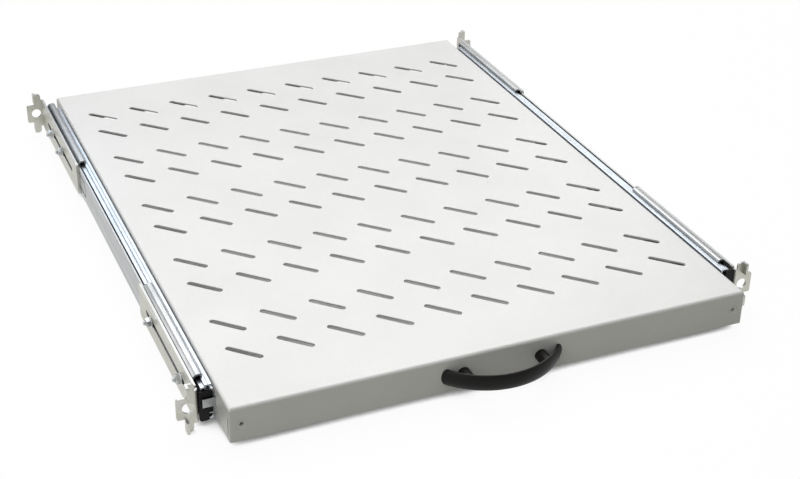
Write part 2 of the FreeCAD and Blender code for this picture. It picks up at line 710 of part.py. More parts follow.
def make_ball_sets(side, turn):
    """Outer and inner ball cages of one slide with their balls."""
    outer_out = f"({OUTER_WEB} - cage_slack)"
    outer_in = f"({outer_out} - cage_sheet)"
    outer_top = f"({OUTER_BALL_Z} + cage_sheet / 2)"
    outer_under = f"({OUTER_BALL_Z} - cage_sheet / 2)"
    outer_section = [(outer_out, outer_top), (OUTER_BALL_U, outer_top), (OUTER_BALL_U, outer_under),
                     (outer_in, outer_under)]
    outer_start = "(outer_front + front_track - outer_cage_gap - outer_cage_length)"
    outer_row = (outer_start, "outer_cage_length", "outer_ball_pitch", OUTER_BALL_U)
    make_cage(side, turn, "outer", outer_section, "cage_sheet", *outer_row, BALL)
    make_balls(side, turn, "outer", *outer_row, OUTER_BALL_Z)

    inner_out = f"({MIDDLE_WEB_IN} - cage_slack)"
    inner_in = f"({inner_out} - inner_cage_sheet)"
    inner_top = f"({RACE_UNDER} - cage_slack)"
    inner_under = f"({inner_top} - inner_cage_sheet)"
    inner_section = [(inner_out, inner_top), (INNER_BALL_U, inner_top), (INNER_BALL_U, inner_under),
                     (inner_in, inner_under)]
    inner_start = "(member_front + inner_cage_offset)"
    inner_row = (inner_start, "inner_cage_length", "inner_ball_pitch", INNER_BALL_U)
    below = f"({INNER_BALL_Z} - {inner_top})"
    seat = f"sqrt({BALL} * {BALL} - {below} * {below})"
    make_cage(side, turn, "inner", inner_section, "inner_cage_sheet", *inner_row, seat)
    make_balls(side, turn, "inner", *inner_row, INNER_BALL_Z)


def make_lever(side, turn):
    """Moulded release lever in the inner rail's channel, on a pin riveted into the rail's web."""
    label = f"{side}_release_lever"
    body = new_body(label)
    sketch = new_sketch(body, "YZ_Plane", f"{SIDE} + member_wall + lever_gap")
    nose = "lever_setback"
    tail = "(lever_setback + lever_length)"
    half = "(lever_height / 2)"
    waist = f"({LEVER_PIVOT} - lever_height)"
    add_outline(sketch, [(nose, f"-{half}"), ("lever_setback + lever_height", f"-{half}"),
                         (waist, f"-{half} / 2"), (waist, f"-{half}"), (tail, f"-{half}"),
                         (tail, half), (waist, half), (nose, half)])
    add_circle(sketch, (LEVER_PIVOT, "0"), "pin_diameter + 2 * pin_slack")
    pad(body, sketch, "lever_thickness")
    keep(body, label, turn)

    shank = solid("Part::Cylinder", f"{side}_pin_shank", ALONG_X, (SIDE, LEVER_PIVOT, "0"),
                  Radius="pin_diameter / 2", Height="member_wall + 2 * lever_gap + lever_thickness")
    head_start = f"{SIDE} + member_wall + 2 * lever_gap + lever_thickness"
    head = solid("Part::Cylinder", f"{side}_pin_head", ALONG_X, (head_start, LEVER_PIVOT, "0"),
                 Radius="pin_head / 2", Height="pin_head_thickness")
    keep(fuse(f"{side}_pin", shank, head), f"{side}_lever_pin", turn)


def make_rivets(side, turn):
    """Rivets through the inner rail's web and the tray's flange, with a head on each side."""
    rivets = []
    for i in range(int(SIZES["rivet_count"])):
        y = rivet_place(i)
        start = f"{SIDE} - sheet - rivet_head_thickness"
        shank = solid("Part::Cylinder", f"{side}_rivet_shank", ALONG_X, (start, y, "0"),
                      Radius="rivet_diameter / 2", Height="sheet + member_wall + 2 * rivet_head_thickness")
        heads = [solid("Part::Cylinder", f"{side}_rivet_head", ALONG_X, (x, y, "0"),
                       Radius="rivet_head / 2", Height="rivet_head_thickness")
                 for x in (start, f"{SIDE} + member_wall")]
        rivets.append(fuse(f"{side}_rivet", shank, *heads))
    keep(group(f"{side}_rivet_set", rivets), f"{side}_rail_rivets", turn)


def make_studs(side, turn):
    """Clinched studs in the outer rail's web and the flanged nuts that clamp the brackets on them."""
    studs = []
    nuts = []
    web = f"{SIDE} + {OUTER_WEB}"
    for y in STUD_PLACES:
        studs.append(solid("Part::Cylinder", f"{side}_stud", ALONG_X, (web, y, "0"),
                           Radius="stud_diameter / 2", Height="outer_wall + bracket_sheet + stud_length"))
        hexagon = solid("Part::Prism", f"{side}_nut_hex", ALONG_X, (ARM_FACE, y, "0"),
                        Circumradius="nut_size / sqrt(3)", Height="nut_height")
        flange = solid("Part::Cylinder", f"{side}_nut_flange", ALONG_X, (ARM_FACE, y, "0"),
                       Radius="nut_flange / 2", Height="nut_flange_height")
        thread = solid("Part::Cylinder", f"{side}_nut_thread", ALONG_X, (ARM_FACE, y, "0"),
                       Radius="stud_diameter / 2", Height="nut_height")
        nuts.append(cut(f"{side}_nut", fuse(f"{side}_nut_blank", hexagon, flange), thread))
    keep(group(f"{side}_stud_set", studs), f"{side}_bracket_studs", turn)
    keep(group(f"{side}_nut_set", nuts), f"{side}_bracket_nuts", turn)


def make_bracket(label, rotation, hand, at_rear):
    """Folded bracket of either hand: a slotted arm, and an ear with a screw hole and two lipped tongues."""
    body = new_body(label)
    ear = new_sketch(body, "XZ_Plane")
    arm_in = SLIDE_FACE
    wing_out = f"({HOLE_X} + ear_margin)"
    tab_in = f"({HOLE_X} - tab_inside)"
    tab_out = f"({HOLE_X} + tab_outside)"
    foot_in = f"({HOLE_X} - foot_inside)"
    foot_out = f"({HOLE_X} + foot_outside)"
    half_wing = "wing_height / 2"
    half_ear = "ear_height / 2"

    def upper(x, height):
        return x, f"({hand} * ({height}))"

    def lower(x, height):
        return x, f"(-{hand} * ({height}))"

    add_outline(ear, [upper(arm_in, "shoulder_height"), upper(tab_in, "shoulder_height"),
                      upper(tab_in, half_ear), upper(tab_out, half_ear), upper(tab_out, half_wing),
                      upper(wing_out, half_wing), lower(wing_out, half_wing), lower(foot_out, half_wing),
                      lower(foot_out, half_ear), lower(foot_in, half_ear), lower(foot_in, "shoulder_height"),
                      lower(arm_in, "shoulder_height")])
    add_circle(ear, (HOLE_X, "0"), "ear_hole")
    pad(body, ear, "bracket_sheet")
    round_corners(body, "wing_radius", [upper(wing_out, half_wing), lower(wing_out, half_wing)])
    round_corners(body, "tongue_round", [upper(tab_in, half_ear), lower(foot_in, half_ear)])

    arm = new_sketch(body, "YZ_Plane", arm_in)
    half_arm = "(arm_height / 2)"
    shoulder = "shoulder_height"
    start = "-bracket_sheet"
    fold = "ear_bend"
    add_outline(arm, [(start, f"-{shoulder}"), (fold, f"-{shoulder}"), (fold, f"-{half_arm}"),
                      (BRACKET_LENGTH, f"-{half_arm}"), (BRACKET_LENGTH, half_arm), (fold, half_arm),
                      (fold, shoulder), (start, shoulder)])
    slot_centre = "bracket_slot_start + bracket_slot / 2"
    add_slot(arm, (slot_centre, "0"), "bracket_slot", "(stud_diameter + 2 * stud_play)")
    pad(body, arm, "bracket_sheet")
    far_corners = [(BRACKET_LENGTH, half_arm), (BRACKET_LENGTH, f"-{half_arm}")]
    round_corners(body, "arm_radius", far_corners, Vector(1, 0, 0), ("y", "z"))
    round_corners(body, "ear_bend", [(arm_in, start)], Vector(0, 0, 1), ("x", "y"))

    lip_root = f"({half_wing} + lip_relief)"
    lip_tip = "(-bracket_sheet - lip_depth)"
    for place, edge in ((upper, tab_out), (lower, foot_out)):
        lip = new_sketch(body, "YZ_Plane", edge)
        add_outline(lip, [place("0", lip_root), place(lip_tip, lip_root), place(lip_tip, half_ear),
                          place("0", half_ear)])
        pad(body, lip, "bracket_sheet", back=True)
        round_corners(body, "lip_round", [place(lip_tip, half_ear)], Vector(1, 0, 0), ("y", "z"))
    keep(body, label, rotation)
    if at_rear:
        bind(body, "Placement.Base.y", RACK_DEPTH)


def make_handle():
    """Bowed strip with two round bosses behind it that take the fixing screws."""
    body = new_body("handle")
    sketch = new_sketch(body, "XY_Plane")
    face = "-front_overhang"
    outer_bow = ("handle_span", "handle_depth")
    inner_bow = ("(handle_span - 2 * handle_end)", "(handle_depth - handle_thickness)")
    add_bow(sketch, face, outer_bow, inner_bow)
    pad(body, sketch, "handle_height", both=True)

    boss = new_sketch(body, "XZ_Plane", "front_overhang")
    for side in ("-", ""):
        add_circle(boss, (f"{side}{BOSS_X}", "0"), "boss_diameter")
    pad(body, boss, "handle_depth")
    crown = new_sketch(body, "YZ_Plane")
    add_crown(crown, f"({face} - handle_depth)", bow_radius(*outer_bow))
    groove(body, crown)
    ends = new_sketch(body, "XZ_Plane", "front_overhang")
    wide = "(handle_span / 2 + handle_depth)"
    add_outline(ends, [(f"-{wide}", "-handle_height"), (wide, "-handle_height"), (wide, "handle_height"),
                       (f"-{wide}", "handle_height")])
    add_slot(ends, ("0", "0"), "(handle_span + 2 * handle_blunt)", "handle_height")
    pocket(body, ends, "handle_depth + crown_margin", back=True)
    round_bow(body, "handle_rim", bow_radius(*inner_bow))

    holes = new_sketch(body, "XZ_Plane", "front_overhang")
    for side in ("-", ""):
        add_circle(holes, (f"{side}{BOSS_X}", "0"), "handle_screw")
    pocket(body, holes, "handle_screw_depth", back=True)
    return keep(body, "handle")


def add_bow(sketch, face, outer, inner):
    """Crescent between two arcs that stand on one line, each given by its span and its depth."""
    at = number(face)
    arcs = []
    for span, depth in (outer, inner):
        reach = number(span) / 2
        points = [Vector(-reach, at, 0), Vector(0, at - number(depth), 0), Vector(reach, at, 0)]
        arcs.append(sketch.addGeometry(Part.Arc(*points)))
    half_spans = [f"{span} / 2" for span, depth in (outer, inner)]
    ends = [Vector(number(half), at, 0) for half in half_spans]
    starts = [Vector(-number(half), at, 0) for half in half_spans]
    left = sketch.addGeometry(Part.LineSegment(starts[0], starts[1]))
    right = sketch.addGeometry(Part.LineSegment(ends[1], ends[0]))
    for arc, line_ends, half, bow in zip(arcs, ((1, 2), (2, 1)), half_spans, (outer, inner)):
        first, last = arc_ends(sketch, arc)
        sketch.addConstraint(Sketcher.Constraint("Coincident", arc, first, left, line_ends[0]))
        sketch.addConstraint(Sketcher.Constraint("Coincident", arc, last, right, line_ends[1]))
        pin_point(sketch, arc, first, (f"-{half}", face))
        pin_point(sketch, arc, last, (half, face))
        radius = bow_radius(*bow)
        held = sketch.addConstraint(Sketcher.Constraint("Radius", arc, number(radius)))
        bind(sketch, f"Constraints[{held}]", radius)


def bow_radius(span, depth):
    """Radius of an arc from its span and its depth."""
    return f"(({span}) * ({span}) / 4 + ({depth}) * ({depth})) / (2 * ({depth}))"


def round_bow(body, radius, bow):
    """Round the handle's upper and lower edges that follow one of its two arcs."""
    half = number("handle_height / 2")
    wanted = []
    for i, edge in enumerate(body.Shape.Edges, start=1):
        level = all(abs(abs(vertex.Point.z) - half) < NEAR for vertex in edge.Vertexes)
        if level and edge.Curve.TypeId == "Part::GeomCircle" and abs(edge.Curve.Radius - number(bow)) < NEAR:
            wanted.append(f"Edge{i}")
    round_edges(body, radius, wanted)


def add_crown(sketch, front, radius):
    """What lies in front of the handle's arched face, and the upright axis round which that face is bowed."""
    crest = f"({front} + crown_skin)"
    foot = f"({crest} + crown_depth)"
    past = f"({front} - handle_depth)"
    centre = f"({front} + {radius})"
    half = "(handle_height / 2 + crown_margin)"
    places = [(foot, f"-{half}"), (past, f"-{half}"), (past, half), (foot, half)]
    corners = [Vector(number(along), number(up), 0) for along, up in places]
    lines = [sketch.addGeometry(Part.LineSegment(corners[i], corners[i + 1])) for i in range(3)]
    arch = sketch.addGeometry(Part.Arc(corners[3], Vector(number(crest), 0, 0), corners[0]))
    lowest, highest = (1, 2) if sketch.getPoint(arch, 1).y < 0 else (2, 1)
    joints = ((lines[0], 2, lines[1], 1), (lines[1], 2, lines[2], 1), (lines[2], 2, arch, highest),
              (lines[0], 1, arch, lowest))
    for joint in joints:
        sketch.addConstraint(Sketcher.Constraint("Coincident", *joint))
    for line, place in zip(lines, places):
        pin_point(sketch, line, 1, place)
    pin_point(sketch, lines[2], 2, places[3])
    arch_radius = bow_radius(f"2 * {half}", "crown_depth")
    held = sketch.addConstraint(Sketcher.Constraint("Radius", arch, number(arch_radius)))
    bind(sketch, f"Constraints[{held}]", arch_radius)
    ends = [Vector(number(centre), number(text), 0) for text in (f"-{half}", half)]
    axis = sketch.addGeometry(Part.LineSegment(*ends), True)
    pin_point(sketch, axis, 1, (centre, f"-{half}"))
    pin_point(sketch, axis, 2, (centre, half))


def groove(body, sketch):
    """Cut a sketch right round the axis drawn in it."""
    feature = body.newObject("PartDesign::Groove", f"{body.Name}_groove")
    feature.Profile = sketch
    feature.ReferenceAxis = (sketch, ["Axis0"])
    feature.Angle = 360
    doc.recompute()


def arc_ends(sketch, arc):
    """Which end of a sketched arc lies on the left, then which on the right."""
    return (1, 2) if sketch.getPoint(arc, 1).x < sketch.getPoint(arc, 2).x else (2, 1)


def make_handle_screws():
    """Pan-head screws through the front flange into the handle's bosses."""
    screws = []
    inside = "sheet - front_overhang"
    for side in ("-", ""):
        x = f"{side}{BOSS_X}"
        tip = "-front_overhang - handle_screw_depth"
        shank = solid("Part::Cylinder", "handle_screw_shank", ALONG_Y, (x, tip, "0"),
                      Radius="handle_screw / 2", Height="handle_screw_depth + sheet")
        head = solid("Part::Cylinder", "handle_screw_head", ALONG_Y, (x, inside, "0"),
                     Radius="handle_screw_head / 2", Height="handle_screw_head_height")
        screws.append(fuse("handle_screw", shank, head))
    keep(group("handle_screw_set", screws), "handle_screws")


def make_inserts():
    """Threaded inserts clinched into the front flange, one near each end, just short of its face."""
    inserts = []
    inside = "sheet - front_overhang"
    front = "insert_recess - front_overhang"
    for side in ("-", ""):
        x = f"{side}{INSERT_X}"
        hexagon = solid("Part::Prism", "insert_hex", ALONG_Y, (x, inside, "0"),
                        Circumradius="insert_size / sqrt(3)", Height="insert_height")
        shank = solid("Part::Cylinder", "insert_shank_part", ALONG_Y, (x, front, "0"),
                      Radius="insert_shank / 2", Height="sheet - insert_recess")
        bore = solid("Part::Cylinder", "insert_bore_tool", ALONG_Y, (x, front, "0"),
                     Radius="insert_bore / 2", Height="sheet - insert_recess + insert_height")
        inserts.append(cut("insert", fuse("insert_blank", hexagon, shank), bore))
    keep(group("insert_set", inserts), "front_inserts")


make_tray()
make_handle()
make_handle_screws()
make_inserts()
for side, turn in SIDES.items():
    make_outer_rail(side, turn)
    make_middle_rail(side, turn)
    make_inner_rail(side, turn)
    make_front_stop(side, turn)
    make_end_cap(side, turn)
    make_rear_buffer(side, turn)
    make_ball_sets(side, turn)
    make_lever(side, turn)
    make_rivets(side, turn)
    make_studs(side, turn)

# One hand of bracket at the front right and, turned about, at the rear left; the other hand at the other two
make_bracket("front_right_bracket", FreeCAD.Rotation(Vector(0, 0, 1), 0), 1, False)
make_bracket("front_left_bracket", TURNED_ABOUT_Y, -1, False)
make_bracket("rear_right_bracket", FreeCAD.Rotation(Vector(1, 0, 0), 180), -1, True)
make_bracket("rear_left_bracket", FreeCAD.Rotation(Vector(0, 0, 1), 180), 1, True)

doc.recompute()
for item in doc.Objects:
    if "Invalid" in item.State or "Error" in item.State:
        raise ValueError(f"{item.Label} failed: {item.State}")
os.makedirs("parts", exist_ok=True)
for item in nodes:
    if item.Shape.isNull() or not item.Shape.isValid():
        raise ValueError(f"{item.Label} has no valid shape")
    item.Shape.exportStep(f"parts/{item.Label}.step")
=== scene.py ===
"""Looks of the sliding rack shelf: paint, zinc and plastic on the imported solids, fasteners, light and camera.

Lengths are in metres in the part's own frame: +X right seen from the front, +Y to the rear, +Z up.
"""

import json
import math

import bpy
import numpy as np
from mathutils import Matrix, Vector


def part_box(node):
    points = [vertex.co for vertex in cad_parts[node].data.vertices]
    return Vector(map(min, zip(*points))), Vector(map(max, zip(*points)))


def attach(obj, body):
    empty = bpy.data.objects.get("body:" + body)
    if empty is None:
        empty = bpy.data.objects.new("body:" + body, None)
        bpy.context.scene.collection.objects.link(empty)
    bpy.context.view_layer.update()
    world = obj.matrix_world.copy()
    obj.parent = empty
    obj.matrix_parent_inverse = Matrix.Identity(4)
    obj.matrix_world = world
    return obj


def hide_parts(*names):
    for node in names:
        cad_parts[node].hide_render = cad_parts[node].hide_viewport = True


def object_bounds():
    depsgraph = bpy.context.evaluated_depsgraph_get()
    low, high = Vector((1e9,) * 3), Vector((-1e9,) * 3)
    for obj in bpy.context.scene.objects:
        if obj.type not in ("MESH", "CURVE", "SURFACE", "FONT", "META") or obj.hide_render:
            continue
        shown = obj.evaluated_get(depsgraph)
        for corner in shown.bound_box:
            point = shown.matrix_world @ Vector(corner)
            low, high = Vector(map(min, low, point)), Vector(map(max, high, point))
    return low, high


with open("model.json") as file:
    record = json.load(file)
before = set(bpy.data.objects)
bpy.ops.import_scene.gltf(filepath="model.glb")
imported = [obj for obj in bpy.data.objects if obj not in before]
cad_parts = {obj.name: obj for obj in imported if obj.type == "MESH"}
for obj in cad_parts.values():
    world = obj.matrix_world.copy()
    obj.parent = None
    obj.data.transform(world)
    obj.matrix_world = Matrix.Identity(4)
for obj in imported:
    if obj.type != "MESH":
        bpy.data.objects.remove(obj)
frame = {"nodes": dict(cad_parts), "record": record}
cad_low, cad_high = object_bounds()
nodes = frame["nodes"]
MM = 0.001
FULL_TURN = 2.0 * math.pi
SIDES = ("left", "right")

# Camera, as fitted to the slots, the tray's edges and the ears in the photograph
IMAGE_WIDTH = 800
FOCAL_PIXELS = 1531.0
SENSOR = 36.0
AIM = Vector((-8.04, 143.01, 15.0)) * MM
AIM_DISTANCE = 1.2719
AZIMUTH = math.radians(-23.442)
ELEVATION = math.radians(29.4)
ROLL = math.radians(0.9)
CLIP_NEAR = 0.01
CLIP_FAR = 50.0


def place_camera():
    """Camera on a sphere round the aim point, level but for a small roll, with the fitted focal length."""
    level_reach = math.cos(ELEVATION)
    back = Vector((math.sin(AZIMUTH) * level_reach, -math.cos(AZIMUTH) * level_reach, math.sin(ELEVATION)))
    level = Vector((math.cos(AZIMUTH), math.sin(AZIMUTH), 0.0))
    rise = back.cross(level)
    right = level * math.cos(ROLL) + rise * math.sin(ROLL)
    up = rise * math.cos(ROLL) - level * math.sin(ROLL)
    data = bpy.data.cameras.new("photo_camera")
    data.sensor_width = SENSOR
    data.lens = SENSOR * FOCAL_PIXELS / IMAGE_WIDTH
    data.clip_start = CLIP_NEAR
    data.clip_end = CLIP_FAR
    camera = bpy.data.objects.new("photo_camera", data)
    turn = Matrix((right, up, back)).transposed().to_4x4()
    camera.matrix_world = Matrix.Translation(AIM + back * AIM_DISTANCE) @ turn
    bpy.context.scene.collection.objects.link(camera)
    bpy.context.scene.camera = camera


# Node helpers

def new_group(name, inputs, outputs):
    """Shader node group with named value inputs and typed outputs, and the nodes at its two ends."""
    tree = bpy.data.node_groups.new(name, "ShaderNodeTree")
    for label, value in inputs.items():
        socket = tree.interface.new_socket(label, in_out="INPUT", socket_type="NodeSocketFloat")
        socket.default_value = value
    for label, kind in outputs.items():
        tree.interface.new_socket(label, in_out="OUTPUT", socket_type=kind)
    return tree, tree.nodes.new("NodeGroupInput"), tree.nodes.new("NodeGroupOutput")


def join(tree, source, socket):
    """Link another node's socket into this one, or set this one to a plain value."""
    if isinstance(source, bpy.types.NodeSocket):
        tree.links.new(source, socket)
    else:
        socket.default_value = source


def add(tree, kind, links=None, **values):
    """New node with its settings, and what is linked into its sockets or set on them."""
    node = tree.nodes.new(kind)
    for name, value in values.items():
        setattr(node, name, value)
    for label, source in (links or {}).items():
        join(tree, source, node.inputs[label])
    return node


def noise(tree, scale, detail=2.0, roughness=0.5):
    """Noise on object coordinates, with the given number of features per metre along each axis."""
    place = add(tree, "ShaderNodeTexCoord").outputs["Object"]
    stretched = add(tree, "ShaderNodeMapping", {"Vector": place, "Scale": scale}).outputs["Vector"]
    node = add(tree, "ShaderNodeTexNoise", {"Vector": stretched, "Scale": 1.0, "Detail": detail,
                                            "Roughness": roughness})
    return node.outputs["Fac"]


def rescale(tree, value, low, high, from_low=0.25, from_high=0.75):
    """Map a value from one range to another, held at its ends."""
    node = add(tree, "ShaderNodeMapRange", {"Value": value, "From Min": from_low, "From Max": from_high,
                                            "To Min": low, "To Max": high})
    return node.outputs["Result"]


def mix_colour(tree, share, first, second):
    """Blend of two colours by a share."""
    node = add(tree, "ShaderNodeMix", data_type="RGBA")
    for place, source in ((0, share), (6, first), (7, second)):
        join(tree, source, node.inputs[place])
    return node.outputs[2]


def combine(tree, operation, first, second):
    """Sum, product or other plain operation on two values."""
    return add(tree, "ShaderNodeMath", {0: first, 1: second}, operation=operation).outputs[0]


def srgb(red, green, blue):
    """Colour as seen on a screen, from 0 to 255, turned into the linear values that a shader takes."""
    share = np.array((red, green, blue)) / 255.0
    linear = np.where(share <= 0.04045, share / 12.92, ((share + 0.055) / 1.055) ** 2.4)
    return (*linear, 1.0)


# Effects of the finishes: noise features per metre along X, Y and Z, and how deep a crevice is for the painted
# shade in it
POWDER_GRAINS = (900.0, 900.0, 900.0)
POWDER_CLOUDS = (14.0, 14.0, 14.0)
ROLLING_LINES = (500.0, 6.0, 500.0)
ZINC_MOTTLES = (120.0, 60.0, 120.0)
CREVICE_REACH = 0.006
CREVICE_FULL = 0.04
CREVICE_NONE = 0.3
NOISE_SPREAD = (0.3, 0.7)


def make_rounded_edges():
    """Group: the normal as if every sharp edge were rounded off."""
    tree, inside, outside = new_group("rounded_edges", {"Radius": 0.3 * MM}, {"Normal": "NodeSocketVector"})
    bevel = add(tree, "ShaderNodeBevel", {"Radius": inside.outputs["Radius"]}, samples=6)
    tree.links.new(bevel.outputs["Normal"], outside.inputs["Normal"])
    return tree


def make_powder_grain():
    """Group: the fine orange peel of sprayed powder and faint clouds of tone over a hand's breadth."""
    outputs = {"Grain": "NodeSocketFloat", "Cloud": "NodeSocketFloat"}
    tree, _, outside = new_group("powder_grain", {}, outputs)
    tree.links.new(noise(tree, POWDER_GRAINS, 3.0, 0.6), outside.inputs["Grain"])
    tree.links.new(noise(tree, POWDER_CLOUDS), outside.inputs["Cloud"])
    return tree


def make_rolled_streaks():
    """Group: fine lines left along the slide by rolling, and the soft mottling of a zinc coat."""
    outputs = {"Streak": "NodeSocketFloat", "Mottle": "NodeSocketFloat"}
    tree, _, outside = new_group("rolled_streaks", {}, outputs)
    tree.links.new(noise(tree, ROLLING_LINES), outside.inputs["Streak"])
    tree.links.new(noise(tree, ZINC_MOTTLES, 3.0, 0.6), outside.inputs["Mottle"])
    return tree


def make_crevice_shade_mask():
    """Group: a mask of painted shade, 1 deep between neighbouring pieces where little light reaches, and 0 in
    the open.
    """
    tree, inside, outside = new_group("painted_crevice_shade", {"Reach": CREVICE_REACH}, {"Deep": "NodeSocketFloat"})
    openness = add(tree, "ShaderNodeAmbientOcclusion", {"Distance": inside.outputs["Reach"]}, samples=4)
    deep = rescale(tree, openness.outputs["AO"], 1.0, 0.0, CREVICE_FULL, CREVICE_NONE)
    tree.links.new(deep, outside.inputs["Deep"])
    return tree


ROUNDED_EDGES = make_rounded_edges()
POWDER_GRAIN = make_powder_grain()
ROLLED_STREAKS = make_rolled_streaks()
CREVICE_SHADE_MASK = make_crevice_shade_mask()


def new_material(name):
    """Empty material with its output and one shader."""
    material = bpy.data.materials.new(name)
    material.use_nodes = True
    tree = material.node_tree
    return material, tree, tree.nodes["Principled BSDF"]


def place_group(tree, group, **values):
    """A shared group in a material, with this material's own values."""
    node = add(tree, "ShaderNodeGroup", node_tree=group)
    for label, value in values.items():
        node.inputs[label].default_value = value
    return node


def feed(tree, shader, **sources):
    """Link or set the shader's sockets by name, with underscores for blanks."""
    for label, source in sources.items():
        join(tree, source, shader.inputs[label.replace("_", " ")])


def bump(tree, height, strength, distance, normal):
    """Normal tilted by a height, on top of another normal."""
    node = add(tree, "ShaderNodeBump", {"Height": height, "Strength": strength, "Distance": distance,
                                        "Normal": normal})
    return node.outputs["Normal"]


# Finishes
PAINT_EDGE = 0.4 * MM
PAINT_PEEL = 0.6
PAINT_DEPTH = 0.25 * MM
CLOUD_SHARE = 0.5
GRAIN_SHARE = 0.35
PAINT_ROUGHNESS = (0.30, 0.42)
ROLLED_EDGE = 0.25 * MM
SHEARED_EDGE = 0.1 * MM
STREAK_BUMP = 0.04
STREAK_DEPTH = 0.05 * MM
STREAK_SMOOTHER = 0.75
STREAK_ROUGHER = 1.3
# Painted shade on faces that look up or down: the share of upright normal where it starts and where it is full
UP_DOWN_SHADE_FROM = 0.3
UP_DOWN_SHADE_FULL = 0.7
PLASTIC_EDGE = 0.4 * MM
PLASTIC_GRAINS = (2200.0, 2200.0, 2200.0)
PLASTIC_CLOUDS = (60.0, 60.0, 60.0)
PLASTIC_DEPTH = 0.1 * MM
PLASTIC_PALER = 1.5
PLASTIC_SMOOTHER = 0.9
PLASTIC_ROUGHER = 1.12
PLASTIC_SHEEN = 0.2
BALL_FILM = (500.0, 500.0, 500.0)
BALL_ROUGHNESS = (0.06, 0.2)
# Painted shade: the grey that darkens the zinc deep between neighbouring pieces
CREVICE_SHADE_COLOUR = srgb(78, 79, 80)
# Painted shade: the grey put on the bracket plates' edges that face up and down
UP_DOWN_SHADE_COLOUR = srgb(168, 169, 169)


def powder_coat(name, colour, shade):
    """Sprayed and baked powder: matt sheen, orange peel and two tones, in clouds and from grain to grain."""
    material, tree, shader = new_material(name)
    edges = place_group(tree, ROUNDED_EDGES, Radius=PAINT_EDGE)
    powder = place_group(tree, POWDER_GRAIN)
    grain = powder.outputs["Grain"]
    clouded = mix_colour(tree, rescale(tree, powder.outputs["Cloud"], 0.0, CLOUD_SHARE), colour, shade)
    grained = mix_colour(tree, rescale(tree, grain, 0.0, GRAIN_SHARE, *NOISE_SPREAD), clouded, shade)
    normal = bump(tree, grain, PAINT_PEEL, PAINT_DEPTH, edges.outputs["Normal"])
    feed(tree, shader, Base_Color=grained, Roughness=rescale(tree, grain, *PAINT_ROUGHNESS), Normal=normal)
    return material


def up_down_shade_mask(tree):
    """Mask of painted shade: 1 on faces that look up or down, which on the upright bracket plates are their cut
    edges.
    """
    normal = add(tree, "ShaderNodeNewGeometry").outputs["Normal"]
    upward = add(tree, "ShaderNodeSeparateXYZ", {0: normal}).outputs["Z"]
    steep = add(tree, "ShaderNodeMath", {0: upward}, operation="ABSOLUTE").outputs[0]
    return rescale(tree, steep, 0.0, 1.0, UP_DOWN_SHADE_FROM, UP_DOWN_SHADE_FULL)


def zinc_plate(name, colour, second, roughness, edge_radius=ROLLED_EDGE, up_down_shade=None, crevice_shade=None):
    """Bright zinc on steel: streaks along Y, a mottle of two tints, and where asked, painted shade on the edges
    that face up and down, and painted shade deep between neighbouring pieces.
    """
    material, tree, shader = new_material(name)
    edges = place_group(tree, ROUNDED_EDGES, Radius=edge_radius)
    rolled = place_group(tree, ROLLED_STREAKS)
    mottle = rescale(tree, rolled.outputs["Mottle"], 0.0, 1.0, *NOISE_SPREAD)
    tint = mix_colour(tree, mottle, colour, second)
    # Painted shade on the faces that look up or down
    if up_down_shade:
        tint = mix_colour(tree, up_down_shade_mask(tree), tint, up_down_shade)
    # Painted shade: darker zinc deep between neighbouring pieces, by how closely they crowd
    if crevice_shade:
        tint = mix_colour(tree, place_group(tree, CREVICE_SHADE_MASK).outputs["Deep"], tint, crevice_shade)
    streak = rolled.outputs["Streak"]
    streaked = rescale(tree, streak, roughness * STREAK_SMOOTHER, roughness * STREAK_ROUGHER)
    normal = bump(tree, streak, STREAK_BUMP, STREAK_DEPTH, edges.outputs["Normal"])
    feed(tree, shader, Base_Color=tint, Metallic=1.0, Roughness=streaked, Normal=normal)
    return material


def moulded_plastic(name, colour, roughness, grain):
    """Moulded plastic: a fine spark-eroded grain and a little variation in tone and gloss."""
    material, tree, shader = new_material(name)
    edges = place_group(tree, ROUNDED_EDGES, Radius=PLASTIC_EDGE)
    fine = noise(tree, PLASTIC_GRAINS)
    broad = noise(tree, PLASTIC_CLOUDS)
    paler = (*(PLASTIC_PALER * channel for channel in colour[:3]), 1.0)
    tint = mix_colour(tree, rescale(tree, broad, 0.0, 1.0), colour, paler)
    gloss = rescale(tree, broad, roughness * PLASTIC_SMOOTHER, roughness * PLASTIC_ROUGHER)
    normal = bump(tree, fine, grain, PLASTIC_DEPTH, edges.outputs["Normal"])
    feed(tree, shader, Base_Color=tint, Roughness=gloss, Normal=normal, Specular_IOR_Level=PLASTIC_SHEEN)
    return material


def polished_balls(name):
    """Bearing balls: bright steel with a thin, uneven greasy film."""
    material, tree, shader = new_material(name)
    film = noise(tree, BALL_FILM)
    colour = mix_colour(tree, rescale(tree, film, 0.0, 1.0), srgb(214, 216, 220), srgb(190, 190, 184))
    feed(tree, shader, Base_Color=colour, Metallic=1.0, Roughness=rescale(tree, film, *BALL_ROUGHNESS))
    return material


